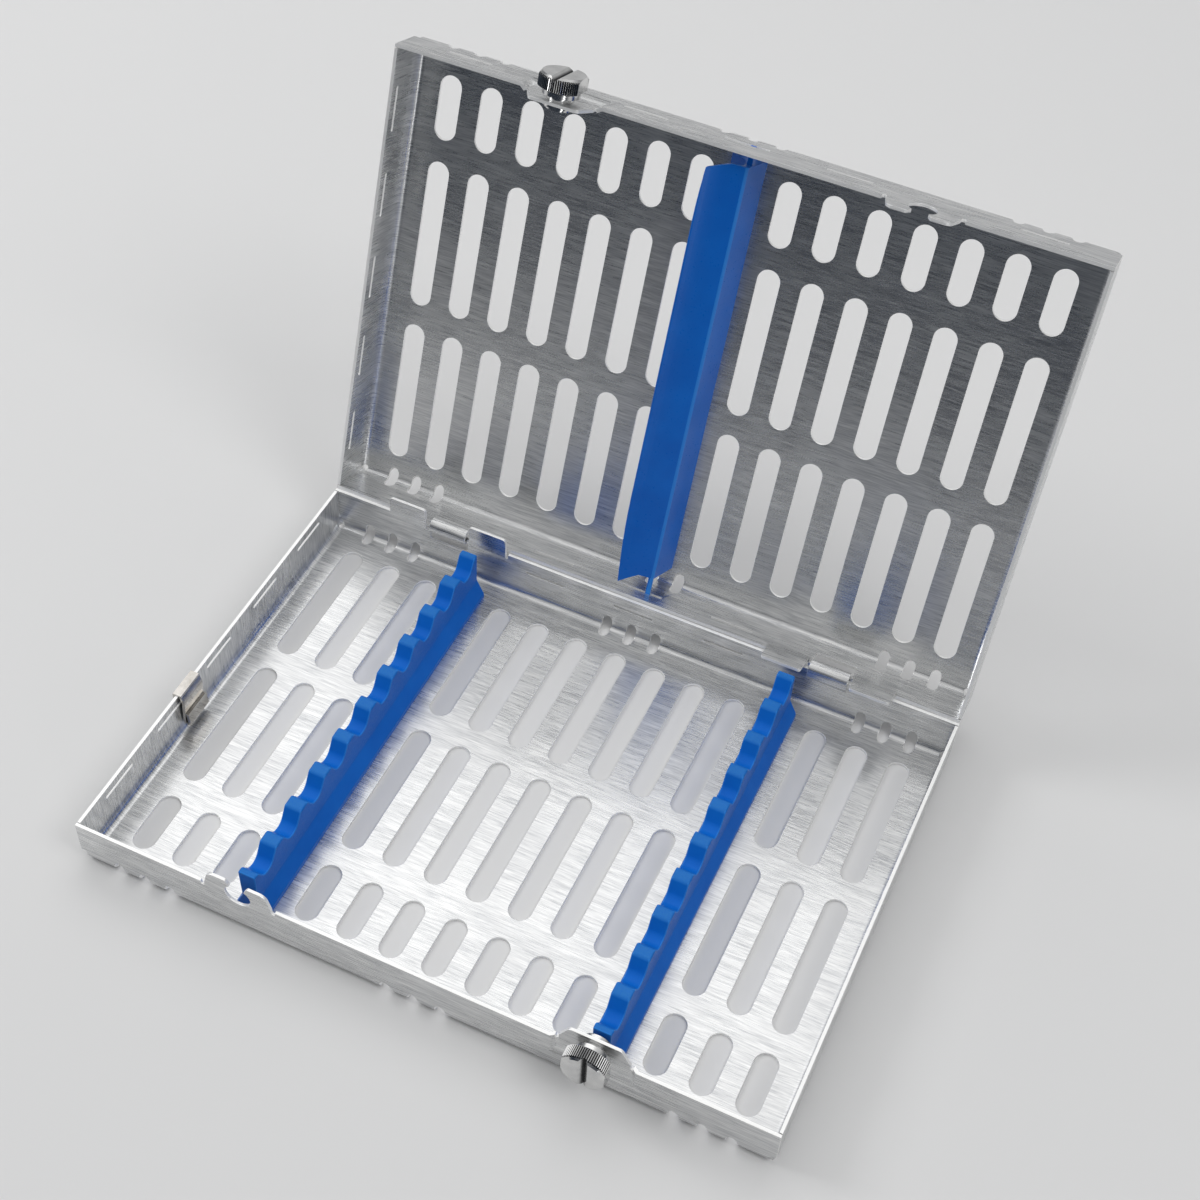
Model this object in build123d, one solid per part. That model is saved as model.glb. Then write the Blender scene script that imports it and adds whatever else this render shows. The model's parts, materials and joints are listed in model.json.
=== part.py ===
from build123d import *
import os
from math import asin, cos, degrees, pi, radians, sin, sqrt, tan

# Dental instrument cassette, lid open. Millimetres, +Z up, +Y towards the hinge.
# Origin: middle of the underside of the base tray.

# ---- the two trays ----
width = 203.2            # along X
depth = 139.7            # along Y
half_height = 15.875     # one tray, underside to the split line
sheet = 0.9              # stainless sheet
bend_radius = 3.0        # outer radius of the folded edges
edge_gap = 0.25          # each wall stops this far short of the split line
open_angle = 110.0       # lid at rest, from closed

# ---- long slots in both plates: a short row in front, two long ones behind ----
column_count = 15
column_margin = 11.79    # side face to the middle of the first column
slot_width = 6.7
short_row = 18.8
row_start = 8.7          # front face to the first slot
row_end = 9.6            # last slot to the back face
row_gap = 6.6

# ---- short holes over the front and back folds ----
fold_hole_width = 3.2
fold_hole_length = 6.4
fold_hole_pitch = 8.0
fold_hole_margin = 19.8  # side face to the middle of an outer group
fold_hole_depth = 6.0    # cutter, each way from the fold

# ---- thin slots in the walls ----
thin_length = 13.1
thin_height = 1.0
thin_inner = 29.2        # from the middle
thin_margin = 19.7       # side face to the middle of an outer slot
front_slot_drop = 7.6    # below the split line
back_slot_drop = 5.0
side_slot_pitch = 25.4
side_slot_drop = 3.4

# ---- corners ----
seam_gap = 0.3
seam_start = 4.2
corner_hole = 1.8
corner_inset = 1.9
corner_round = 2.6       # of the plate's corners, up to the seams

# ---- hinge: axis along X at the outer back face on the split line ----
hinge_x = 61.9
tab_offset = 13.55
tab_width = 12.3
tab_reach = 6.8
tab_inset = 1.0          # outer face of a tab behind the outer wall face
tab_crease = 1.9         # where the joggle starts, from the split line
relief_width = 0.5
window_width = 12.8
window_clear = 0.4       # each side of a hook
bar_height = 1.1         # strip left between window and split line
base_window_far = 5.5
lid_window_far = 7.4
hook_bore = 1.5          # inner radius of the curl
hook_tip = 35.0          # the curl goes this far past the outer side, degrees
hook_root = 4.2
hook_straight = 1.6

# ---- quarter-turn latches, stem axes on the split line ----
latch_x = 51.2
plate_recess = sheet + 0.2         # room for the other tray's keyhole tab
plate_half = 10.3
plate_ramp = 1.5
plate_drop = 6.5
plate_reach = 5.0
plate_top_half = 7.2
plate_root_half = 9.8
plate_round = 1.2
plate_notch = 1.0
plate_notch_depth = 1.7
plate_notch_round = 0.45
ramp_thicken = 0.4
keyhole_half = 10.1
keyhole_shoulder = 8.7
keyhole_reach = 5.3
keyhole_radius = 3.9
keyhole_round = 2.4
mouth_width = 4.6
mouth_flare = 6.6
mouth_straight = 3.4
mouth_round = 0.6
relief_depth = 1.4
keyhole_relief = 1.2

stem_radius = 3.6
stem_clear = 0.05
stem_flat = 4.2          # across the two flats
pin_radius = 2.0         # stem end pressed into the knob
pin_length = 1.5
shank_radius = 2.5       # inner end that carries washer and ring
groove_radius = 2.1
collar_gap = 0.3         # collar stands off the outer wall face
collar_radius = 5.25
collar_thick = 1.2
neck_radius = 4.2
neck_length = 0.7
knob_radius = 6.85
knob_across = 11.8       # across its two flats
knob_thick = 4.0
knob_bevel = 0.85
knurl_pitch = 0.6
knurl_depth = 0.28
face_groove_width = 2.6
face_groove_depth = 1.3
washer_radius = 4.65
washer_thick = 0.7
ring_radius = 3.9
ring_thick = 0.6
ring_mouth = 2.8
side_play = 0.06
stem_end = 0.5

# ---- scalloped rails of the base ----
rail_column = 4          # a rail stands over this slot column, each side
rail_front_gap = 5.15    # front face to the near end of a rail
rail_back_gap = 7.55
rail_notches = 10
rail_top = 18.8          # above the underside of the base
rail_half = 2.6          # half the thickness at the top
rail_waist = 7.6         # the foot spreads from here down
rail_waist_half = 2.45
rail_foot_half = 4.8
rail_foot_edge = 2.7
rail_top_round = 0.6
rail_waist_round = 2.5
rail_foot_round = 0.8
notch_depth = 4.7
notch_slope = 58.0       # of the notch sides, from level
notch_floor = 3.0        # radius at the bottom of a notch
notch_lip = 1.5          # radius at its edges
plug_clear = 0.1

# ---- hold-down rail of the lid (heights are from the split line up to the plate) ----
lip_tip_x = -8.7
lip_tip_drop = 1.4
lip_thick = 1.4
lip_sag = 0.9            # rise of the lip above its chord
ridge_x = 2.7
ridge_drop = 4.6
ridge_round = 0.7
web_thick = 1.8
web_foot_half = 4.9
web_foot_edge = 1.3
web_foot_round = 4.0
web_foot_rise = 5.0      # the foot spreads from here on, above the plate
lid_rail_front_gap = 5.2
lid_rail_back_gap = 6.2
lip_skew_front = 2.3     # the tip stands this far back of the ridge in front
lip_skew_back = 3.4      # and this far back of it behind
lip_narrow_front = 0.7
lip_narrow_back = 1.5
lip_run_front = 20.0     # length over which the lip narrows
lip_run_back = 34.0
tongue_width = 1.4
tongue_thick = 0.8

# ---- accessory clip on the left wall: a bent strip, hemmed at its lower end ----
clip_y = -16.3
clip_width = 9.4
clip_sheet = 0.9
clip_gap = 0.1
clip_outer = 4.2         # outer leaf, down from the top of the wall
clip_outer_flare = 0.5
clip_neck = 0.4          # straight inner part below the top
clip_bend = 1.4          # radius of the soft bends
clip_fold = 0.1          # radius over the edge of the wall
clip_belly = 2.7         # deepest bend, down from the top
clip_belly_out = 0.75
clip_toe = 12.7          # lowest point, down from the top
clip_toe_width = 2.75
clip_hem = 5.4           # height of the hem's free end above the toe
clip_hem_width = 2.3
clip_hem_bend = 1.2

column_pitch = (width - 2 * column_margin) / (column_count - 1)
long_row = (depth - row_start - short_row - 2 * row_gap - row_end) / 2
slot_rows = (short_row, long_row, long_row)
fold_hole_groups = (fold_hole_margin - width / 2, 0.0, width / 2 - fold_hole_margin)
thin_outer = width / 2 - thin_margin
lid_front_slots = (-thin_outer, -thin_inner, 0.0, thin_inner, thin_outer)
back_slots = (-thin_inner, 0.0, thin_inner)
rail_length = depth - rail_front_gap - rail_back_gap
rail_pitch = rail_length / rail_notches
rail_y = (rail_front_gap - rail_back_gap) / 2
rail_x = rail_column * column_pitch
back = depth / 2
front = -depth / 2
wall_top = half_height - edge_gap
axis_line = Axis((0, back, half_height), (1, 0, 0))


def box(x0, x1, y0, y1, z0, z1):
    """Box between two corners."""
    return Pos((x0 + x1) / 2, (y0 + y1) / 2, (z0 + z1) / 2) * Box(x1 - x0, y1 - y0, z1 - z0)


def face_xz(points, y):
    """Face in a plane of constant y, from (x, z) points; it extrudes towards -Y."""
    return Plane.XZ.offset(-y) * make_face(Polyline(*points, close=True))


def face_yz(points, x):
    """Face in a plane of constant x, from (y, z) points; it extrudes towards +X."""
    return Plane.YZ.offset(x) * make_face(Polyline(*points, close=True))


def flip(shape):
    """Turn a base tray piece over into its place on the closed lid."""
    return Pos(0, 0, 2 * half_height) * Rot(0, 180, 0) * shape


def open_lid(shape):
    """Swing a piece of the closed lid to its rest position."""
    return shape.rotate(axis_line, -open_angle)


# ---------------------------------------------------------------- trays
def folded_tray():
    """Open tray with folded lower edges and sharp upright corners."""
    outer = box(-width / 2, width / 2, front, back, 0, wall_top)
    outer = fillet(outer.faces().sort_by(Axis.Z)[0].edges(), bend_radius)
    inner = box(-width / 2 + sheet, width / 2 - sheet, front + sheet, back - sheet, sheet, wall_top + 1)
    inner = fillet(inner.faces().sort_by(Axis.Z)[0].edges(), bend_radius - sheet)
    return outer - inner


def plate_slots():
    """All long slots of a plate as one cutter."""
    slots = Sketch()
    y = front + row_start
    for length in slot_rows:
        for i in range(column_count):
            x = (i - (column_count - 1) / 2) * column_pitch
            slots += Pos(x, y + length / 2) * Rot(0, 0, 90) * SlotOverall(length, slot_width)
        y += length + row_gap
    return Pos(0, 0, -1) * extrude(slots, sheet + 2)


def fold_holes():
    """Short round-ended holes across the front and back folds."""
    holes = []
    hole = extrude(SlotOverall(fold_hole_length, fold_hole_width, rotation=90), fold_hole_depth, both=True)
    for side in (-1, 1):
        for group in fold_hole_groups:
            for i in (-1, 0, 1):
                place = Pos(group + i * fold_hole_pitch, side * back, 0)
                holes.append(place * Rot(side * 45, 0, 0) * hole)
    return holes


def wall_slots(front_slots):
    """Thin slots in the front, back and side walls."""
    thin = SlotOverall(thin_length, thin_height)
    cut = 2 * sheet
    places = [(x, front, half_height - front_slot_drop) for x in front_slots]
    places += [(x, back, half_height - back_slot_drop) for x in back_slots]
    slots = [Pos(x, y, z) * Rot(90, 0, 0) * extrude(thin, cut, both=True) for x, y, z in places]
    for side in (-1, 1):
        for i in (-2, -1, 0, 1, 2):
            place = Pos(side * width / 2, i * side_slot_pitch, half_height - side_slot_drop)
            slots.append(place * Rot(0, 0, 90) * Rot(90, 0, 0) * extrude(thin, cut, both=True))
    return slots


def corner_cuts():
    """Open seam up each corner, the round relief below it and the rounded corner of the plate."""
    cuts = []
    for sx in (-1, 1):
        for sy in (-1, 1):
            seam = box(width / 2 - 1.6 * sheet, width / 2 + 1, back - sheet - seam_gap, back - sheet,
                       seam_start, wall_top + 1)
            tip = box(width / 2 - corner_round, width / 2 + 1, back - corner_round, back + 1, -1, seam_start)
            tip -= Pos(width / 2 - corner_round, back - corner_round, 0) * Cylinder(corner_round, 4 * seam_start)
            for cut in (seam, tip):
                if sx < 0:
                    cut = cut.mirror(Plane.YZ)
                if sy < 0:
                    cut = cut.mirror(Plane.XZ)
                cuts.append(cut)
            place = Pos((width / 2 - corner_inset) * sx, (back - corner_inset) * sy, 0)
            cuts.append(place * Cylinder(corner_hole / 2, 2 * seam_start))
    return cuts


# ---------------------------------------------------------------- hinge
def tab_profile():
    """Section of an alignment tab: out of the wall, joggled inwards, past the split line."""
    y, z = back, half_height
    return [(y - sheet, z - tab_crease - 1), (y, z - tab_crease - 1), (y, z - tab_crease),
            (y - tab_inset, z - 0.3), (y - tab_inset, z + tab_reach), (y - tab_inset - sheet, z + tab_reach),
            (y - tab_inset - sheet, z - 0.55), (y - sheet, z - tab_crease - 0.35)]


def hook_face(x):
    """Section of the curled hook: up inside the wall, over the axis and down outside."""
    r1, r2 = hook_bore, hook_bore + sheet
    tip = radians(hook_tip)
    run = Line((0, -hook_root - 1), (0, -hook_root))
    run += Line((0, -hook_root), (-r1, -hook_straight))
    run += Line((-r1, -hook_straight), (-r1, 0))
    run += ThreePointArc((-r1, 0), (0, r1), (r1 * cos(tip), -r1 * sin(tip)))
    run += Line((r1 * cos(tip), -r1 * sin(tip)), (r2 * cos(tip), -r2 * sin(tip)))
    run += ThreePointArc((r2 * cos(tip), -r2 * sin(tip)), (0, r2), (-r2, 0))
    run += Line((-r2, 0), (-r2, -hook_straight - 0.35))
    run += Line((-r2, -hook_straight - 0.35), (-sheet, -hook_root - 0.35))
    run += Line((-sheet, -hook_root - 0.35), (-sheet, -hook_root - 1))
    run += Line((-sheet, -hook_root - 1), (0, -hook_root - 1))
    plane = Plane((x, back, half_height), x_dir=(0, 1, 0), z_dir=(1, 0, 0))
    return plane * make_face(run)


def add_hinge(tray, window_far):
    """Tabs and window on the left of a tray, hook on its right."""
    z = half_height
    y0, y1 = back - 2 * sheet, back + sheet
    tab_x = (-hinge_x - tab_offset, -hinge_x + tab_offset)
    cuts = []
    for x in tab_x:
        half = tab_width / 2 + relief_width
        cuts.append(box(x - half, x + half, y0, y1, z - tab_crease, z + 1))
    half = window_width / 2
    window = box(-hinge_x - half, -hinge_x + half, y0, y1, z - window_far, z - bar_height)
    cuts.append(fillet(window.edges().filter_by(Axis.Y), 0.5))
    cuts.append(box(hinge_x - half, hinge_x + half, y0, y1, z - hook_root, z + 1))
    tray = tray - cuts
    for x in tab_x:
        tab = extrude(face_yz(tab_profile(), x - tab_width / 2), tab_width)
        ends = tab.edges().filter_by(Axis.Y).group_by(Axis.Z)[-1]
        tray += fillet(ends, 1.0)
    hook_width = window_width - 2 * window_clear
    return tray + extrude(hook_face(hinge_x - hook_width / 2), hook_width)


# ---------------------------------------------------------------- latches
def recess_block(grow, y, height):
    """Shallow pressed block with sloping sides, open at the top."""
    half = plate_half + plate_ramp + grow
    low = half_height - plate_drop - plate_ramp - grow
    lip = [(latch_x - half, low), (latch_x + half, low), (latch_x + half, height), (latch_x - half, height)]
    slope = degrees(asin(plate_ramp / sqrt(plate_ramp**2 + plate_recess**2)))
    block = extrude(face_xz(lip, 0), -plate_recess, taper=slope)
    return Pos(0, y, 0) * block


def add_plate(tray):
    """Recessed latch plate on the right of a front wall, with the stem hole."""
    z = half_height
    room = box(0, width / 2 - 2 * sheet, front, 0, 0, wall_top)
    tray = tray + (recess_block(ramp_thicken, front + sheet, 2 * z) & room) - recess_block(0, front, 2 * z)
    tongue = [(latch_x - plate_root_half, z - 2), (latch_x + plate_root_half, z - 2),
              (latch_x + plate_root_half, z), (latch_x + plate_top_half, z + plate_reach),
              (latch_x - plate_top_half, z + plate_reach), (latch_x - plate_root_half, z)]
    plate = extrude(face_xz(tongue, front + plate_recess + sheet), sheet)
    plate = fillet(plate.edges().filter_by(Axis.Y).group_by(Axis.Z)[-1], plate_round)
    tray += plate
    cuts = []
    for side in (-1, 1):
        x = latch_x + side * (plate_root_half + plate_notch / 2)
        notch = box(x - plate_notch / 2, x + plate_notch / 2, front - 1, front + 4, z - plate_notch_depth, z + 1)
        cuts.append(fillet(notch.edges().filter_by(Axis.Y).group_by(Axis.Z)[0], plate_notch_round))
    hole = Pos(latch_x, front + 1, z) * Rot(90, 0, 0) * Cylinder(stem_radius + stem_clear, 8)
    return tray - cuts - hole


def add_keyhole(tray):
    """Keyhole tab in the plane of the front wall, on its left, that drops over the other stem."""
    z = half_height
    x = -latch_x
    outline = [(x - keyhole_half, z - 2), (x + keyhole_half, z - 2), (x + keyhole_half, z),
               (x + keyhole_shoulder, z + keyhole_reach), (x - keyhole_shoulder, z + keyhole_reach),
               (x - keyhole_half, z)]
    tab = extrude(face_xz(outline, front + sheet), sheet)
    tab = fillet(tab.edges().filter_by(Axis.Y).group_by(Axis.Z)[-1], keyhole_round)
    half, flare = mouth_width / 2, mouth_flare / 2
    mouth = [(x - half, z), (x + half, z), (x + half, z + mouth_straight), (x + flare, z + keyhole_reach),
             (x - flare, z + keyhole_reach), (x - half, z + mouth_straight)]
    tab -= extrude(face_xz(mouth, front + 2 * sheet), 3 * sheet)
    mouth_edges = tab.edges().filter_by(Axis.Y).filter_by(lambda e: abs(e.center().X - x) < flare + mouth_round)
    tab = fillet(mouth_edges.group_by(Axis.Z)[-1], mouth_round)
    tray += tab
    eye = Pos(x, front, z) * Rot(90, 0, 0) * Cylinder(keyhole_radius, 6)
    cuts = [eye]
    for side in (-1, 1):
        place = Pos(x + side * (keyhole_half + keyhole_relief / 2), front, wall_top)
        relief = SlotOverall(2 * relief_depth, keyhole_relief, rotation=90)
        cuts.append(place * Rot(90, 0, 0) * extrude(relief, 3, both=True))
    return tray - cuts


def tray(front_slots, window_far):
    """One whole folded half of the cassette, as the base carries it."""
    shape = folded_tray()
    shape = add_plate(shape)
    shape = add_keyhole(shape)
    shape = add_hinge(shape, window_far)
    return shape - plate_slots() - fold_holes() - wall_slots(front_slots) - corner_cuts()


def knurled_outline():
    """Round outline with fine teeth on the arcs and two plain flats at left and right."""
    half = knob_across / 2
    reach = asin(half / knob_radius)
    teeth = int(2 * reach * knob_radius / knurl_pitch)
    step = 2 * reach / teeth
    points = []
    for turn in (0, pi):
        for i in range(teeth):
            a = turn + reach - i * step
            points.append((knob_radius * sin(a), knob_radius * cos(a)))
            a -= step / 2
            points.append(((knob_radius - knurl_depth) * sin(a), (knob_radius - knurl_depth) * cos(a)))
        a = turn - reach
        points.append((knob_radius * sin(a), knob_radius * cos(a)))
    return make_face(Polyline(*points, close=True))


def along_stem(shape, y):
    """Put a shape drawn along +Z on the base latch axis, its start at y, running outwards."""
    return Pos(latch_x, y, half_height) * Rot(90, 0, 0) * shape


collar_y = front - collar_gap
knob_y = collar_y - collar_thick - neck_length
plate_in = front + plate_recess + sheet
washer_y = plate_in + side_play + washer_thick
ring_y = washer_y + side_play + ring_thick


def knob():
    """Knurled knob with flats, a V across its face, and the collar behind it."""
    body = extrude(knurled_outline(), knob_thick)
    cone = Pos(0, 0, knob_thick - knob_bevel) * Cone(knob_radius, knob_radius - knob_bevel, knob_bevel,
                                                     align=(Align.CENTER, Align.CENTER, Align.MIN))
    drum = Cylinder(knob_radius, knob_thick - knob_bevel, align=(Align.CENTER, Align.CENTER, Align.MIN))
    body = body & (drum + cone)
    vee = [(-face_groove_width / 2, knob_thick + 0.01), (0, knob_thick - face_groove_depth),
           (face_groove_width / 2, knob_thick + 0.01)]
    vee_face = Plane.XZ * make_face(Polyline(*vee, close=True))
    body -= extrude(vee_face, 2 * knob_radius, both=True)
    bottom = (Align.CENTER, Align.CENTER, Align.MAX)
    body += Cylinder(neck_radius, neck_length, align=bottom)
    body += Pos(0, 0, -neck_length) * Cylinder(collar_radius, collar_thick, align=bottom)
    start = -neck_length - collar_thick
    body -= Pos(0, 0, start) * Cylinder(pin_radius, pin_length, align=(Align.CENTER, Align.CENTER, Align.MIN))
    return along_stem(body, knob_y)


def stem():
    """Stem: pin into the knob, two-flat cam, round journal, shank with a ring groove."""
    base = (Align.CENTER, Align.CENTER, Align.MIN)
    journal_start = plate_in - 0.05
    end = ring_y + stem_end
    cam = Cylinder(stem_radius, front + plate_recess - collar_y, align=base) & Box(stem_flat, 20, 20)
    shape = along_stem(cam, front + plate_recess)
    shape += along_stem(Cylinder(pin_radius, pin_length, align=base), collar_y)
    shape += along_stem(Cylinder(stem_radius, journal_start - front - plate_recess, align=base), journal_start)
    shank = Cylinder(shank_radius, end - journal_start, align=base)
    shank = chamfer(shank.edges().sort_by(Axis.Z)[0], 0.3)
    shape += along_stem(shank, end)
    groove = Cylinder(shank_radius + 1, ring_thick, align=base) - Cylinder(groove_radius, ring_thick, align=base)
    return shape - along_stem(groove, ring_y)


def washer():
    """Plain washer against the inner side of the latch plate."""
    base = (Align.CENTER, Align.CENTER, Align.MIN)
    shape = Cylinder(washer_radius, washer_thick, align=base)
    return along_stem(shape - Cylinder(shank_radius + side_play, 5), washer_y)


def ring():
    """Open retaining ring in the stem groove."""
    base = (Align.CENTER, Align.CENTER, Align.MIN)
    shape = Cylinder(ring_radius, ring_thick, align=base) - Cylinder(groove_radius + side_play, 5)
    gap = box(-ring_mouth / 2, ring_mouth / 2, -ring_radius - 1, 0, -1, 2)
    return along_stem(shape - gap, ring_y)


# ---------------------------------------------------------------- rails
def notched_side():
    """Side view of a rail: a bar with a smooth wave of notches along its top."""
    side = Pos(0, rail_top / 2) * Rectangle(rail_length, rail_top)
    floor = rail_top - notch_depth
    flat = notch_floor * tan(radians(notch_slope) / 2)
    reach = flat + notch_depth / tan(radians(notch_slope))
    for i in range(rail_notches):
        x = (i + 0.5) * rail_pitch - rail_length / 2
        notch = [(x - reach, rail_top), (x - flat, floor), (x + flat, floor), (x + reach, rail_top)]
        side -= make_face(Polyline(*notch, close=True))
    side = fillet(side.vertices().filter_by(lambda v: abs(v.Y - floor) < 0.01), 0.98 * notch_floor)
    ends = rail_length / 2 - 0.01
    return fillet(side.vertices().filter_by(lambda v: v.Y > rail_top - 0.01 and abs(v.X) < ends), notch_lip)


def scalloped_rail():
    """Soft rail along Y: upright wall on a spread foot, with the wave of notches cut through it."""
    half = [(rail_foot_half, sheet), (rail_foot_half, rail_foot_edge), (rail_waist_half, rail_waist),
            (rail_half, rail_top)]
    outline = face_xz(half + [(-x, z) for x, z in reversed(half)], rail_length / 2)
    for height, radius in ((rail_foot_edge, rail_foot_round), (rail_waist, rail_waist_round),
                           (rail_top, rail_top_round)):
        corners = outline.vertices().filter_by(lambda v: abs(v.Z - height) < 0.01)
        outline = fillet(corners, radius)
    rail = extrude(outline, rail_length) & extrude(Plane.YZ * notched_side(), 2 * rail_foot_half, both=True)
    return Pos(0, rail_y, 0) * rail


def slot_plugs(x):
    """Round-ended plugs that hold a rail in the slots of its column."""
    plugs = []
    y = front + row_start
    for length in slot_rows:
        outline = Pos(x, y + length / 2) * Rot(0, 0, 90) * SlotOverall(length, slot_width)
        plugs.append(Pos(0, 0, plug_clear) * extrude(outline, sheet - plug_clear))
        y += length + row_gap
    return plugs


def lid_rail_section():
    """Section of the lid rail: wall with a spread foot on the plate, and the arched lip along its edge."""
    z = half_height
    plate = 2 * z - sheet
    wall = [(web_foot_half, plate), (ridge_x, z + ridge_drop), (ridge_x - web_thick, z + ridge_drop),
            (ridge_x - web_thick, plate - web_foot_rise), (-web_foot_half, plate - web_foot_edge),
            (-web_foot_half, plate)]
    face = make_face(Polyline(*wall, close=True))
    bend = face.vertices().sort_by_distance((ridge_x - web_thick, plate - web_foot_rise))[0]
    face = fillet(bend, web_foot_round)
    ridge, tip = (ridge_x, z + ridge_drop), (lip_tip_x, z + lip_tip_drop)
    crown = ((ridge_x + lip_tip_x) / 2, z + (ridge_drop + lip_tip_drop) / 2 + lip_sag)
    inner_ridge = (ridge_x, z + ridge_drop + lip_thick)
    inner_tip = (lip_tip_x, z + lip_tip_drop + lip_thick)
    run = ThreePointArc(ridge, crown, tip)
    run += Line(tip, inner_tip)
    run += ThreePointArc(inner_tip, (crown[0], crown[1] + lip_thick), inner_ridge)
    run += Line(inner_ridge, ridge)
    face += make_face(run)
    corner = face.vertices().sort_by_distance(ridge)[0]
    face = fillet(corner, ridge_round)
    edges = face.vertices().filter_by(lambda v: abs(v.X - lip_tip_x) < 0.01)
    return fillet(edges, lip_thick / 3)


def lid_rail():
    """Hold-down rail on the closed lid: its lip runs askew at both ends and narrows towards them."""
    z = half_height
    plate = 2 * half_height - sheet
    y0, y1 = front + lid_rail_front_gap, back - lid_rail_back_gap
    tip = lip_tip_x
    front_end = (tip + lip_narrow_front, y0 + lip_skew_front)
    back_end = (tip + lip_narrow_back, y1 + lip_skew_back)
    front_start = (tip, y0 + lip_skew_front + lip_run_front)
    back_start = (tip, y1 + lip_skew_back - lip_run_back)
    plan = Polyline(back_end, (-web_thick, y1), (web_foot_half, y1), (web_foot_half, y0), (-web_thick, y0),
                    front_end)
    plan += TangentArc(front_start, front_end, tangent=(0, -1))
    plan += Line(front_start, back_start)
    plan += TangentArc(back_start, back_end, tangent=(0, 1))
    split = plate - web_foot_rise
    keep = Pos(0, 0, z) * extrude(make_face(plan), split - z)
    keep += box(-web_foot_half, web_foot_half, y0, y1, split, plate)
    section = Plane.XZ.offset(-back) * lid_rail_section()
    rail = extrude(section, depth) & keep
    for y, length, drop in ((back, lid_rail_back_gap + 1, back_slot_drop),
                            (y0 + 1, lid_rail_front_gap + 1, front_slot_drop)):
        rail += box(ridge_x - tongue_width, ridge_x, y - length, y, z + drop - tongue_thick / 2,
                    z + drop + tongue_thick / 2)
    return rail


# ---------------------------------------------------------------- clip
def accessory_clip():
    """Bent strip over the left wall: outer leaf, waved inner leaf and a hem folded back up at its end."""
    outer = -width / 2 - clip_gap
    inner = -width / 2 + sheet + clip_gap
    top = wall_top + clip_gap
    toe = top - clip_toe
    belly = (inner + clip_belly_out, top - clip_belly)
    middle = ((belly[0] + inner) / 2, (belly[1] + toe) / 2)
    upper = FilletPolyline(
        (outer - clip_outer_flare, top - clip_outer), (outer, top - clip_outer / 2), (outer, top),
        (inner, top), (inner, top - clip_neck), belly, middle,
        radius=(clip_bend, clip_fold, clip_fold, clip_bend, clip_bend))
    lower = FilletPolyline(middle, (inner, toe), (inner + clip_toe_width, toe),
                           (inner + clip_hem_width, toe + clip_hem), radius=clip_hem_bend)
    section = make_face(offset(upper, clip_sheet, side=Side.LEFT))
    section += make_face(offset(lower, clip_sheet, side=Side.LEFT))
    strip = extrude(Plane.XZ.offset(-clip_y - clip_width / 2) * section, clip_width)
    lid_edge = half_height + edge_gap
    return strip & box(-width, 0, front, back, 0, lid_edge - clip_gap / 2)


# ---------------------------------------------------------------- assembly
base_parts = {
    "base_shell": tray((), base_window_far),
    "base_rail_left": Pos(-rail_x, 0, 0) * scalloped_rail() + slot_plugs(-rail_x),
    "base_rail_right": Pos(rail_x, 0, 0) * scalloped_rail() + slot_plugs(rail_x),
    "accessory_clip": accessory_clip(),
}
latch_parts = {"knob": knob(), "stem": stem(), "washer": washer(), "retaining_ring": ring()}
lid_parts = {
    "lid_shell": flip(tray(lid_front_slots, lid_window_far)),
    "lid_rail": lid_rail(),
}

os.makedirs("parts", exist_ok=True)
nodes = dict(base_parts)
for name, piece in latch_parts.items():
    nodes["base_" + name] = piece
    lid_parts["lid_" + name] = flip(piece)
for name, piece in lid_parts.items():
    nodes[name] = open_lid(piece)
for name, piece in nodes.items():
    print(name, round(piece.volume, 1), len(piece.solids()))
    export_step(piece, "parts/" + name + ".step")
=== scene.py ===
import bpy
import bmesh
import json
import math
import numpy as np
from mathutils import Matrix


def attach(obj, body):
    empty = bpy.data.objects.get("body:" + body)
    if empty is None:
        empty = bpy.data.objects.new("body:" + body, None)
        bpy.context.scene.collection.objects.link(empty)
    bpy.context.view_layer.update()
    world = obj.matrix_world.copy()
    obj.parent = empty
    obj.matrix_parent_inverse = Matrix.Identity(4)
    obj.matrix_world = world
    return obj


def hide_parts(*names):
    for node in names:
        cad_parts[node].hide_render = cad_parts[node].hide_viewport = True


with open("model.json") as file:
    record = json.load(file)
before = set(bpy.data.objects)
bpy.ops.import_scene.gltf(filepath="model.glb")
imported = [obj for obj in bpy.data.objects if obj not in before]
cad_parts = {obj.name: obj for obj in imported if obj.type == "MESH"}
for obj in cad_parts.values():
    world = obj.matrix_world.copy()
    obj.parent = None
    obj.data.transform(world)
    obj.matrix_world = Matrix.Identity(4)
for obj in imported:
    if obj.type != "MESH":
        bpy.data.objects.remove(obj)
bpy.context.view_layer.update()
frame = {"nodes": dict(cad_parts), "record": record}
nodes = frame["nodes"]
print("frame loaded:", len(nodes), "nodes")


# node helpers
def treeTools(tree):
    # short ways to add a node to a tree and to join two of its sockets
    def add(kind, **settings):
        node = tree.nodes.new(kind)
        for key, value in settings.items():
            setattr(node, key, value)
        return node

    def join(output, socket):
        tree.links.new(output, socket)

    return add, join


def newMaterial(name):
    # a material, its plain shader and the tools for its tree
    material = bpy.data.materials.new(name)
    material.use_nodes = True
    tree = material.node_tree
    return material, tree.nodes["Principled BSDF"], *treeTools(tree)


def setOrJoin(join, socket, value):
    # a number or a colour is written into the socket, another node's output is joined to it
    if isinstance(value, (int, float)):
        socket.default_value = value
    elif isinstance(value, tuple):
        socket.default_value = (*value, 1)
    else:
        join(value, socket)


def objectPlace(add):
    return add("ShaderNodeTexCoord").outputs["Object"]


def meshMask(add, name, output="Fac"):
    return add("ShaderNodeAttribute", attribute_name=name).outputs[output]


def stretched(add, join, vector, scale):
    mapping = add("ShaderNodeMapping")
    mapping.inputs["Scale"].default_value = scale
    join(vector, mapping.inputs["Vector"])
    return mapping.outputs["Vector"]


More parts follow.
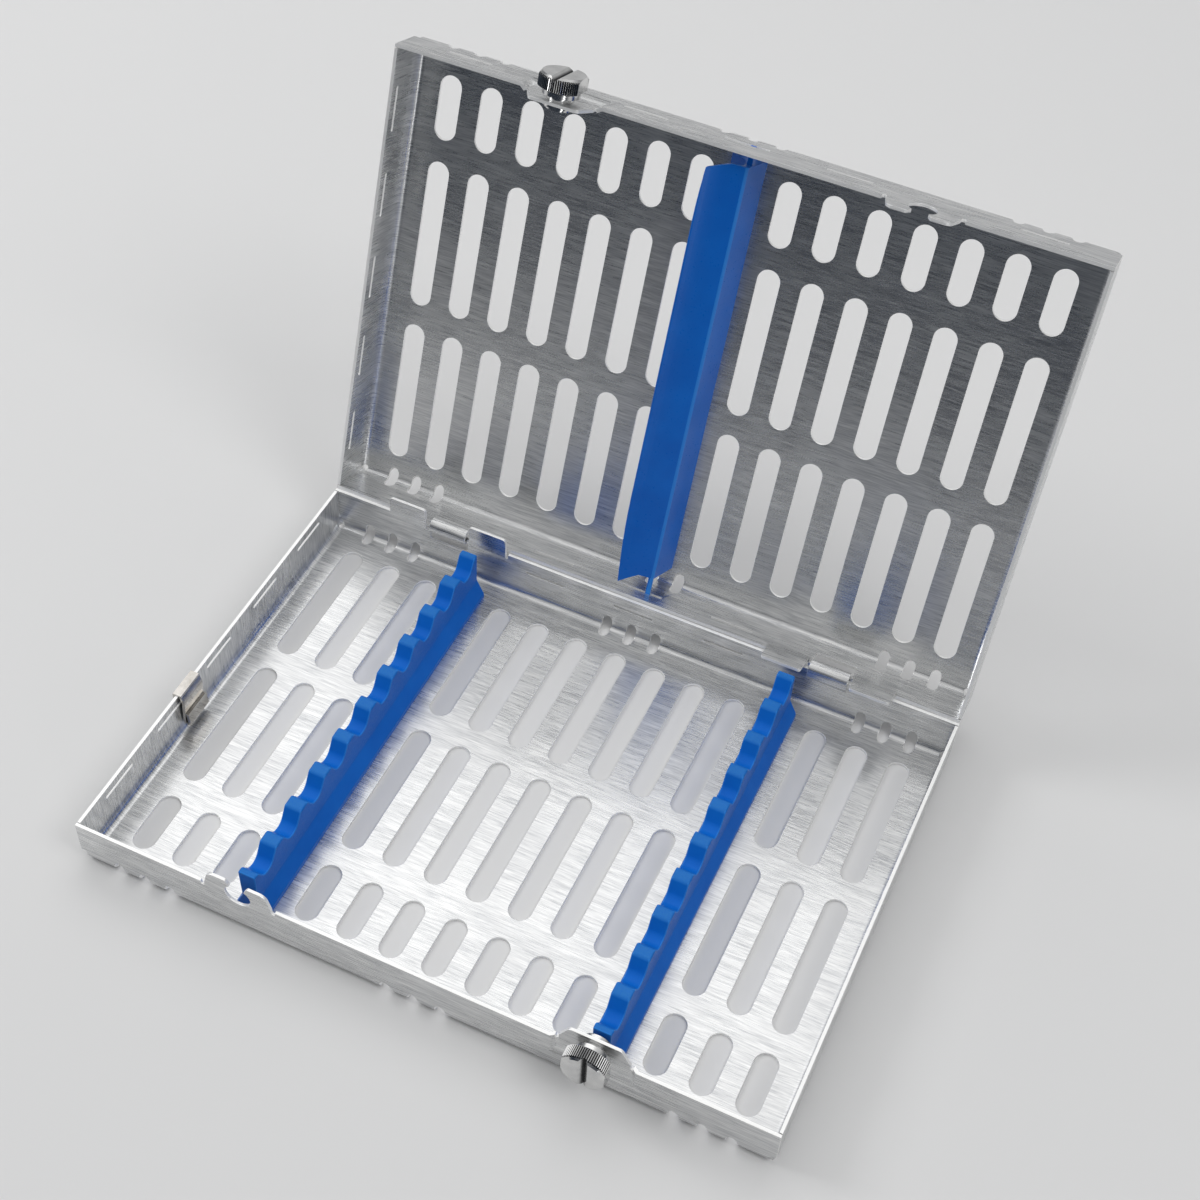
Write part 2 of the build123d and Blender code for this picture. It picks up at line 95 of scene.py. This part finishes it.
def noise(add, join, vector, scale=1.0, detail=2.0, rough=0.5):
    node = add("ShaderNodeTexNoise")
    node.inputs["Scale"].default_value = scale
    node.inputs["Detail"].default_value = detail
    node.inputs["Roughness"].default_value = rough
    join(vector, node.inputs["Vector"])
    return node.outputs["Fac"]


def toRange(add, join, value, low, high, lowIn=0.3, highIn=0.7):
    # the usual span of a noise, or another span, spread from low to high
    node = add("ShaderNodeMapRange")
    node.inputs["From Min"].default_value = lowIn
    node.inputs["From Max"].default_value = highIn
    node.inputs["To Min"].default_value = low
    node.inputs["To Max"].default_value = high
    join(value, node.inputs["Value"])
    return node.outputs["Result"]


def combine(add, join, first, second, operation="ADD"):
    # one number from two, either of them an output or a plain value
    node = add("ShaderNodeMath", operation=operation)
    setOrJoin(join, node.inputs[0], first)
    setOrJoin(join, node.inputs[1], second)
    return node.outputs[0]


def mixColors(add, join, factor, first, second):
    # the first color at factor 0, the second at 1
    node = add("ShaderNodeMix", data_type="RGBA")
    ends = [socket for socket in node.inputs if socket.type == "RGBA"]
    setOrJoin(join, ends[0], first)
    setOrJoin(join, ends[1], second)
    join(factor, node.inputs[0])
    return next(socket for socket in node.outputs if socket.type == "RGBA")


def pressRelief(add, join, shader, height, f):
    bump = add("ShaderNodeBump")
    bump.inputs["Strength"].default_value = f["bump"]
    bump.inputs["Distance"].default_value = f["depth"]
    join(height, bump.inputs["Height"])
    join(bump.outputs["Normal"], shader.inputs["Normal"])


# finishes
sheetFinish = {
    "light": (0.92, 0.92, 0.91),
    "dark": (0.42, 0.43, 0.445),
    "cut": (0.95, 0.95, 0.94),          # sheared faces of the holes and walls, duller and less metallic, and painted near-white as a highlight
    "streak": (120.0, 2300.0, 2300.0),  # stretch along the grain, lower is longer
    "streakDetail": 4.0,
    "streakTone": 0.7,                  # share of the fine streaks in the tone
    "band": (40.0, 600.0, 600.0),       # wider streaks under the fine ones
    "bandDetail": 3.0,
    "bandTone": 0.3,
    "bandHeight": 0.4,                  # in the relief, against the fine streaks
    "strokeRough": 0.6,                 # how ragged both are
    "wander": (60.0, 25.0, 25.0),       # how soon a stroke turns
    "wave": 0.35,                       # how far it turns, in stroke widths
    "cloud": 28.0,                      # rubbed patches, higher is smaller
    "rough": (0.24, 0.32),
    "cloudRough": (-0.03, 0.05),
    "cutRough": 0.15,
    "metallic": 0.93,
    "cutMetallic": 0.55,
    "bump": 0.15,
    "depth": 0.00006,
}


def brushedSheet(name):
    # sheet steel with a wavy brushed grain along the flat blank,
    # rubbed patches and duller sheared edges painted near-white as a highlight
    f = sheetFinish
    material, shader, add, join = newMaterial(name)
    blank = meshMask(add, "blank", "Vector")
    wander = noise(add, join, stretched(add, join, blank, f["wander"]))
    shift = add("ShaderNodeCombineXYZ")
    join(toRange(add, join, wander, -f["wave"], f["wave"]), shift.inputs["Y"])
    join(toRange(add, join, wander, f["wave"], -f["wave"]), shift.inputs["Z"])

    def strokes(scale, detail):
        moved = add("ShaderNodeVectorMath", operation="ADD")
        join(stretched(add, join, blank, scale), moved.inputs[0])
        join(shift.outputs[0], moved.inputs[1])
        return noise(add, join, moved.outputs[0], detail=detail, rough=f["strokeRough"])

    fine = strokes(f["streak"], f["streakDetail"])
    broad = strokes(f["band"], f["bandDetail"])
    cloud = noise(add, join, objectPlace(add), f["cloud"], detail=3.0)
    cut = meshMask(add, "cut")

    tone = combine(add, join, toRange(add, join, fine, 0, f["streakTone"]),
                   toRange(add, join, broad, 0, f["bandTone"]))
    steel = mixColors(add, join, tone, f["dark"], f["light"])
    # painted highlight: the cut faces near-white
    join(mixColors(add, join, cut, steel, f["cut"]), shader.inputs["Base Color"])
    join(toRange(add, join, cut, f["metallic"], f["cutMetallic"], 0, 1),
         shader.inputs["Metallic"])
    rough = combine(add, join, toRange(add, join, fine, *f["rough"]),
                    toRange(add, join, cloud, *f["cloudRough"]))
    duller = combine(add, join, cut, f["cutRough"], "MULTIPLY")
    join(combine(add, join, rough, duller), shader.inputs["Roughness"])
    under = combine(add, join, broad, f["bandHeight"], "MULTIPLY")
    pressRelief(add, join, shader, combine(add, join, fine, under), f)
    return material


turnedFinish = {
    "light": (0.74, 0.74, 0.73),
    "dark": (0.60, 0.60, 0.60),
    "knurlShade": (0.02, 0.02, 0.022),       # painted shade in the bottoms of the knurl
    "rough": (0.10, 0.24),
    "marks": (900.0, 120.0, 900.0),     # stretch of the tool marks
    "stain": 300.0,
    "bump": 0.05,
    "depth": 0.00003,
}
stripFinish = {
    **turnedFinish,
    "light": (0.60, 0.58, 0.55),
    "dark": (0.42, 0.40, 0.37),
    "rough": (0.07, 0.16),
}


def polishedSteel(name, f):
    # polished steel with fine tool marks, small stains and painted shade in the bottoms of the
    # knurl
    material, shader, add, join = newMaterial(name)
    shader.inputs["Metallic"].default_value = 1.0
    place = objectPlace(add)
    marks = noise(add, join, stretched(add, join, place, f["marks"]), detail=3.0)
    stains = noise(add, join, place, f["stain"], detail=3.0)
    steel = mixColors(add, join, toRange(add, join, stains, 0, 1), f["dark"], f["light"])
    # painted shade: the knurl bottoms mixed toward near-black
    valley = toRange(add, join, meshMask(add, "valley"), 0, 1)
    join(mixColors(add, join, valley, steel, f["knurlShade"]), shader.inputs["Base Color"])
    join(toRange(add, join, marks, *f["rough"]), shader.inputs["Roughness"])
    pressRelief(add, join, shader, marks, f)
    return material


siliconeFinish = {
    "light": (0.004, 0.142, 0.595),
    "deep": (0.003, 0.118, 0.530),
    # painted highlight: the ridge tops lighter and greyer
    "topHighlight": (0.030, 0.190, 0.520),
    "edge": (0.030, 0.235, 0.720),      # painted highlight: a thin light line along broken edges and the lid rail's ridge
    "cloud": 90.0,
    "skin": 1500.0,
    "rough": (0.36, 0.50),
    "ior": 1.22,
    "topHighlightFrom": 0.0181,                # height where the painted highlight on the tops begins
    "topHighlightTo": 0.0188,
    "topHighlightTone": 0.75,
    "topHighlightPatchy": (0.6, 1.0),
    "bump": 0.08,
    "depth": 0.00004,
}
lidSiliconeFinish = {**siliconeFinish, "rough": (0.27, 0.36), "ior": 1.36}


def silicone(name, f, highlightTops):
    # satin silicone, slightly cloudy color, a faint moulded skin, a painted highlight in patches
    # on the tops and a painted highlight along broken edges
    material, shader, add, join = newMaterial(name)
    shader.inputs["IOR"].default_value = f["ior"]
    place = objectPlace(add)
    cloud = noise(add, join, place, f["cloud"], detail=3.0)
    skin = noise(add, join, place, f["skin"])
    blue = mixColors(add, join, toRange(add, join, cloud, 0, 1), f["deep"], f["light"])
    if highlightTops:
        # painted highlight: above a height the tops turn lighter and greyer, in patches
        split = add("ShaderNodeSeparateXYZ")
        join(place, split.inputs[0])
        height = toRange(add, join, split.outputs["Z"], 0, f["topHighlightTone"],
                         f["topHighlightFrom"], f["topHighlightTo"])
        patchy = toRange(add, join, skin, *f["topHighlightPatchy"])
        topHighlightMask = combine(add, join, height, patchy, "MULTIPLY")
        blue = mixColors(add, join, topHighlightMask, blue, f["topHighlight"])
    # painted highlight along broken edges and the lid rail's ridge
    highlighted = mixColors(add, join, meshMask(add, "edge"), blue, f["edge"])
    join(highlighted, shader.inputs["Base Color"])
    join(toRange(add, join, skin, *f["rough"]), shader.inputs["Roughness"])
    pressRelief(add, join, shader, skin, f)
    return material


finishes = {
    "tray_sheet": brushedSheet("brushedSheet"),
    "latch_steel": polishedSteel("turnedSteel", turnedFinish),
    "spring_strip": polishedSteel("springStrip", stripFinish),
    "blue_silicone": silicone("railSilicone", siliconeFinish, True),
}
ownFinish = {"lid_rail": silicone("lidSilicone", lidSiliconeFinish, False)}
print("finishes made")


# softened copies of the nodes
record = frame["record"]
bodyOf = {member: body for body, members in record["behaviour"]["bodies"].items()
          for member in members}
slotOf = {part["node"]: part["material_slot"] for part in record["subparts"]}
joints = {joint["name"]: joint for joint in record["behaviour"]["joints"]}

softening = {                 # width of the broken edge in millimetres
    "base_shell": 0.11, "lid_shell": 0.11,
    "base_rail_left": 0.35, "base_rail_right": 0.35, "lid_rail": 0.12,
    "base_knob": 0, "lid_knob": 0, "base_stem": 0.08, "lid_stem": 0.08,
    "accessory_clip": 0.05,
}
softForm = {
    "merge": 2e-6,            # points nearer than this are one
    "sliver": 3e-5,           # edges shorter than this close up
    "flat": 0.5,              # degrees within which faces join into one
    "crisp": 40,              # degrees from which an edge is broken
    "meeting": 25,            # degrees from which an edge counts at a corner
    "crease": 38,             # degrees from which the shading splits
    "steps": 2,
    "profile": 0.5,
    "edgeHighlightTone": 0.6,          # how strong the painted highlight on a broken edge of silicone is
}
trayForm = {
    "half": (0.1016, 0.06985),
    "height": 0.015875,
    "bend": 0.003,
    "open": 110.0,
    "sheet": 0.0009,
    "cutBelow": 0.78,         # a face is cut where less of its normal points out of the tray
    "hookSpan": (0.0545, 0.069),
    "hookBehind": 0.066,
    "hookAbove": 0.0135,
    "hookEnd": 0.7,           # on the curled hook, where more of it points along the hinge
}


def crispEdges(work):
    # outward edges sharper than the crisp angle that run on in one line, so no corner is left open
    crisp, meeting = math.radians(softForm["crisp"]), math.radians(softForm["meeting"])
    folded = [edge for edge in work.edges if len(edge.link_faces) == 2]
    lines = {}
    for edge in folded:
        if edge.calc_face_angle(0) > meeting:
            for vert in edge.verts:
                lines[vert] = lines.get(vert, 0) + 1
    return [edge for edge in folded if edge.calc_face_angle_signed(0) > crisp
            and all(lines[vert] == 2 for vert in edge.verts)]


def readRows(items, field):
    rows = np.empty(len(items) * 3)
    items.foreach_get(field, rows)
    return rows.reshape(-1, 3)


def toTray(rows, lid, directions=False):
    # points or directions of the open lid, turned shut about the hinge
    # and set plate down as the base is
    if not lid:
        return rows
    t = trayForm
    pivot = (0, 0, 0) if directions else (0, t["half"][1], t["height"])
    mirror = 0 if directions else 2 * t["height"]
    c, s = math.cos(math.radians(t["open"])), math.sin(math.radians(t["open"]))
    shut = np.array([[1, 0, 0], [0, c, -s], [0, s, c]])
    rows = (rows - pivot) @ shut.T + pivot
    rows[:, 2] = mirror - rows[:, 2]
    return rows


def sheetMasks(mesh, lid):
    # cut: 1 on faces across the sheet, whose normal stands well off the way out of a rounded
    # tray, which at each point runs from the nearest place on a box inset by the bend radius.
    # blank: where each face corner lay on the flat blank, so at both ends the height adds to X
    t = trayForm
    place = toTray(readRows(mesh.polygons, "center"), lid)
    normal = toTray(readRows(mesh.polygons, "normal"), lid, directions=True)
    low = np.array(t["half"]) - t["bend"]
    out = np.zeros_like(place)
    out[:, :2] = np.sign(place[:, :2]) * np.maximum(np.abs(place[:, :2]) - low, 0)
    out[:, 2] = -np.maximum(t["bend"] - place[:, 2], 0)
    out /= np.linalg.norm(out, axis=1, keepdims=True) + 1e-12
    cut = np.abs((out * normal).sum(axis=1)) < t["cutBelow"]
    side = np.abs(place[:, 0])
    hook = (side > t["hookSpan"][0]) & (side < t["hookSpan"][1])
    hook &= (place[:, 1] > t["hookBehind"]) & (place[:, 2] > t["hookAbove"])
    cut[hook] = np.abs(normal[hook, 0]) > t["hookEnd"]
    mask = mesh.attributes.new("cut", "FLOAT", "FACE")
    mask.data.foreach_set("value", cut.astype(np.float32))

    corner = np.empty(len(mesh.loops), dtype=np.int32)
    mesh.loops.foreach_get("vertex_index", corner)
    sides = np.empty(len(mesh.polygons), dtype=np.int32)
    mesh.polygons.foreach_get("loop_total", sides)
    flat = toTray(readRows(mesh.vertices, "co"), lid)[corner]
    across = np.repeat(normal[:, 0] * np.sign(place[:, 0]), sides)
    end = np.repeat((side > low[0]) & (np.abs(normal[:, 0]) > np.abs(normal[:, 1])), sides)
    flat[end, 0] += np.sign(flat[end, 0]) * flat[end, 2]
    flat[end, 2] = np.where(across[end] < 0, t["sheet"], 0)
    blank = mesh.attributes.new("blank", "FLOAT_VECTOR", "CORNER")
    blank.data.foreach_set("vector", flat.astype(np.float32).ravel())


# the painted highlight along the lid rail's ridge: where, how far and how light
ridgeHighlightForm = {"place": (0.0027, 0.011275), "reach": 0.0008, "light": 0.9}


def ridgeHighlight(mesh):
    # paints a highlight on the faces round the ridge of the lid rail, picked by their distance
    # from it in the shut lid
    place = toTray(readRows(mesh.polygons, "center"), True)
    away = np.hypot(place[:, 0] - ridgeHighlightForm["place"][0], place[:, 2] - ridgeHighlightForm["place"][1])
    mask = mesh.attributes["edge"].data
    values = np.empty(len(place), dtype=np.float32)
    mask.foreach_get("value", values)
    values[away < ridgeHighlightForm["reach"]] = ridgeHighlightForm["light"]
    mask.foreach_set("value", values)


knobForm = {"radius": 0.00685, "depth": 0.00028, "within": 1.2}


def knurlValleys(mesh, joint):
    # 0 on the crests of the knurl to 1 at its bottoms, from each point's distance off the
    # turning axis; what lies deeper is the collar, the flats and the V, and stays 0
    axis = np.array(joint["axis"])
    arm = readRows(mesh.vertices, "co") - np.array(joint["pos_m"])
    arm -= np.outer(arm @ axis, axis)
    sunk = (knobForm["radius"] - np.linalg.norm(arm, axis=1)) / knobForm["depth"]
    values = np.where(sunk < knobForm["within"], np.clip(sunk, 0, 1), 0)
    # this mask sets where the steel paints shade into the knurl
    mask = mesh.attributes.new("valley", "FLOAT", "POINT")
    mask.data.foreach_set("value", values.astype(np.float32))


def breakEdges(mesh, width):
    # joins the loose triangles, rounds the crisp edges and marks where the shading splits
    s = softForm
    work = bmesh.new()
    work.from_mesh(mesh)
    bmesh.ops.remove_doubles(work, verts=work.verts, dist=s["merge"])
    bmesh.ops.dissolve_degenerate(work, edges=work.edges, dist=s["sliver"])
    bmesh.ops.dissolve_limit(work, angle_limit=math.radians(s["flat"]),
                             verts=work.verts, edges=work.edges)
    work.normal_update()
    # the bevel faces carry a painted highlight tone, which the silicone shows
    broken = work.faces.layers.float.new("edge")
    if width:
        made = bmesh.ops.bevel(work, geom=crispEdges(work), offset=width / 1000,
                               offset_type="OFFSET", segments=s["steps"], profile=s["profile"],
                               affect="EDGES", clamp_overlap=False, loop_slide=True)
        for face in made["faces"]:
            face[broken] = s["edgeHighlightTone"]
    bmesh.ops.triangulate(work, faces=[face for face in work.faces if len(face.verts) > 4])
    crease = math.radians(s["crease"])
    for face in work.faces:
        face.smooth = True
    for edge in work.edges:
        edge.smooth = len(edge.link_faces) == 2 and edge.calc_face_angle(0) < crease
    work.to_mesh(mesh)
    work.free()


def softened(name, width):
    # the node's own form with its crisp edges broken by a small round
    mesh = nodes[name].data.copy()
    mesh.name = name + "Soft"
    breakEdges(mesh, width)
    piece = bpy.data.objects.new(name + "Soft", mesh)
    bpy.context.scene.collection.objects.link(piece)
    shade = piece.modifiers.new("flatShade", "WEIGHTED_NORMAL")
    shade.keep_sharp = True
    if name.endswith("shell"):
        sheetMasks(mesh, name.startswith("lid"))
    if name == "lid_rail":
        ridgeHighlight(mesh)
    if name.endswith("knob"):
        knurlValleys(mesh, joints[name.replace("knob", "latch_turn")])
    mesh.materials.clear()
    mesh.materials.append(ownFinish.get(name, finishes[slotOf[name]]))
    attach(piece, bodyOf[name])
    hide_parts(name)


for name, node in nodes.items():
    if name in softening:
        softened(name, softening[name])
    else:
        node.data.materials.clear()
        node.data.materials.append(finishes[slotOf[name]])
print("pieces dressed")


# stage
stageSetup = {
    "floorHalf": 2.5,
    "front": -0.40,
    "bend": 0.9,              # where the floor begins to turn up
    "round": 0.25,
    "steps": 24,
    "wall": 0.9,
    "color": 0.70,
    "rough": 0.9,
    "specular": 0.1,
}


def sweep():
    # floor that turns up into a backdrop: a straight, a quarter circle and an upright
    # along Y and Z, carried across X
    s = stageSetup
    turn = np.linspace(0, math.pi / 2, s["steps"])
    back = s["bend"] + s["round"]
    y = np.concatenate([[s["front"]], s["bend"] + s["round"] * np.sin(turn), [back]])
    z = np.concatenate([[0.0], s["round"] - s["round"] * np.cos(turn), [s["wall"]]])
    x = np.array([-s["floorHalf"], s["floorHalf"]])
    count = len(y)
    points = np.stack([np.repeat(x, count), np.tile(y, 2), np.tile(z, 2)], axis=1)
    i = np.arange(count - 1)
    faces = np.stack([i, i + count, i + count + 1, i + 1], axis=1)
    mesh = bpy.data.meshes.new("sweep")
    mesh.from_pydata(points.tolist(), [], faces.tolist())
    mesh.polygons.foreach_set("use_smooth", [True] * len(faces))
    floor = bpy.data.objects.new("sweep", mesh)
    bpy.context.scene.collection.objects.link(floor)
    material, shader = newMaterial("paper")[:2]
    shader.inputs["Base Color"].default_value = (s["color"], s["color"], s["color"], 1)
    shader.inputs["Roughness"].default_value = s["rough"]
    shader.inputs["Specular IOR Level"].default_value = s["specular"]
    mesh.materials.append(material)


# light
lamps = {                     # place, what it faces, size and power
    "overhead": ((-0.3, 0.72, 0.91), (0, 0, 0.03), (1.3, 1.0), 3.3),
    "left": ((-1.1, -0.1, 0.9), (0, 0, 0.05), (0.5, 0.5), 5),
    "right": ((0.9, -0.1, 1.2), (0, 0, 0.05), (0.6, 0.6), 4),
    "front": ((0.85, -0.90, 0.26), (0, 0, 0.08), (0.20, 0.40), 1.1),
}


def softBox(name, place, aim, size, power):
    # a rectangular lamp turned to face a point
    lamp = bpy.data.lights.new(name, "AREA")
    lamp.shape = "RECTANGLE"
    lamp.size, lamp.size_y = size
    lamp.energy = power
    holder = bpy.data.objects.new(name, lamp)
    holder.visible_camera = False
    bpy.context.scene.collection.objects.link(holder)
    x, y, z = np.subtract(aim, place)
    holder.location = place
    holder.rotation_euler = (math.atan2(math.hypot(x, y), -z), 0, -math.atan2(x, y))


skySetup = {"low": (0.034, 0.042, 0.056), "high": (0.75, 0.75, 0.75), "from": 0.15, "to": 0.95}


def room():
    # a plain room, dark and a little cool to the sides, lighter overhead
    world = bpy.data.worlds.new("room")
    world.use_nodes = True
    add, join = treeTools(world.node_tree)
    split = add("ShaderNodeSeparateXYZ")
    join(add("ShaderNodeTexCoord").outputs["Generated"], split.inputs[0])
    ramp = add("ShaderNodeMapRange", interpolation_type="SMOOTHSTEP")
    ramp.inputs["From Min"].default_value = skySetup["from"]
    ramp.inputs["From Max"].default_value = skySetup["to"]
    join(split.outputs["Z"], ramp.inputs["Value"])
    sky = mixColors(add, join, ramp.outputs["Result"], skySetup["low"], skySetup["high"])
    join(sky, world.node_tree.nodes["Background"].inputs["Color"])
    bpy.context.scene.world = world


sweep()
for name, lamp in lamps.items():
    softBox(name, *lamp)
room()
print("stage and light set")


# camera
cameraSetup = {
    "place": (0.132016, -0.283617, 0.456832),
    "turn": (40.4286, -2.3882, 24.8574),
    "lens": 58.49,
    "sensor": 36,
    "near": 0.01,
}
cameraData = bpy.data.cameras.new("camera")
cameraData.lens = cameraSetup["lens"]
cameraData.sensor_width = cameraSetup["sensor"]
cameraData.clip_start = cameraSetup["near"]
camera = bpy.data.objects.new("camera", cameraData)
camera.location = cameraSetup["place"]
camera.rotation_euler = [math.radians(angle) for angle in cameraSetup["turn"]]
bpy.context.scene.collection.objects.link(camera)
bpy.context.scene.camera = camera
bpy.context.scene.view_settings.view_transform = "Standard"
print("camera placed")
